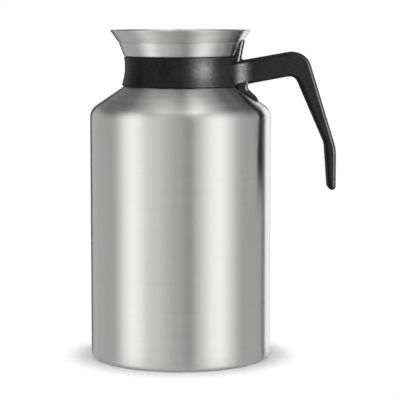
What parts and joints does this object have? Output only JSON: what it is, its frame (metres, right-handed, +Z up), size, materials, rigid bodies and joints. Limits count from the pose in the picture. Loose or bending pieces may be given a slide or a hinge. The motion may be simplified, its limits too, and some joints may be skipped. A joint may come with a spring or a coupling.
{
  "type": "thermal carafe",
  "caption": "Double-walled steel thermal carafe with a flared pouring mouth, a black clamped collar with an open angled handle, and a lift-out brew-through stopper.",
  "frame": {"origin": "on the flask's axis, in the plane of the standing foot", "axes": "+Z up along the flask's axis, +X towards the handle, -Y the side seen in the picture"},
  "size_m": [0.1772, 0.13, 0.2364],
  "materials": {
    "brushed_steel": "fine lines round the axis, satin",
    "satin_steel": "satin, spun",
    "foil": "bright foil",
    "getter": "dull metal with a sintered pellet",
    "solder_glass": "fused glass solder",
    "rubber": "matt",
    "grained_plastic": "fine moulded grain",
    "polished_plastic": "smooth, half gloss",
    "screw_steel": "zinc-plated",
    "insert_brass": "turned",
    "lid_plastic": "smooth satin",
    "tube_plastic": "smooth",
    "silicone": "dark grey silicone"
  },
  "bodies": {
    "flask": {"outer_shell": "brushed_steel", "base_plate": "satin_steel", "vacuum_plug": "solder_glass", "inner_flask": "satin_steel", "radiation_foil": "foil", "getter_cup": "getter", "pouring_funnel": "brushed_steel", "neck_grip_band": "rubber", "handle_front_half": "grained_plastic", "handle_rear_half": "grained_plastic", "handle_saddle": "polished_plastic", "handle_screws": "screw_steel", "handle_inserts": "insert_brass", "collar_screw": "screw_steel", "collar_insert": "insert_brass"},
    "lid_seal": {"lid_gasket": "silicone"},
    "lid": {"lid_body": "lid_plastic", "lid_knob": "lid_plastic", "knob_nut": "lid_plastic", "mixing_tube": "tube_plastic"}
  },
  "joints": [
    {"name": "lid_lift", "type": "slide", "parent": "flask", "child": "lid_seal", "axis": [0, 0, 1], "range_m": [0, 0.215]},
    {"name": "lid_turn", "type": "hinge", "parent": "lid_seal", "child": "lid", "pos_m": [0, 0, 0.2085], "axis": [0, 0, 1], "continuous": true}
  ]
}
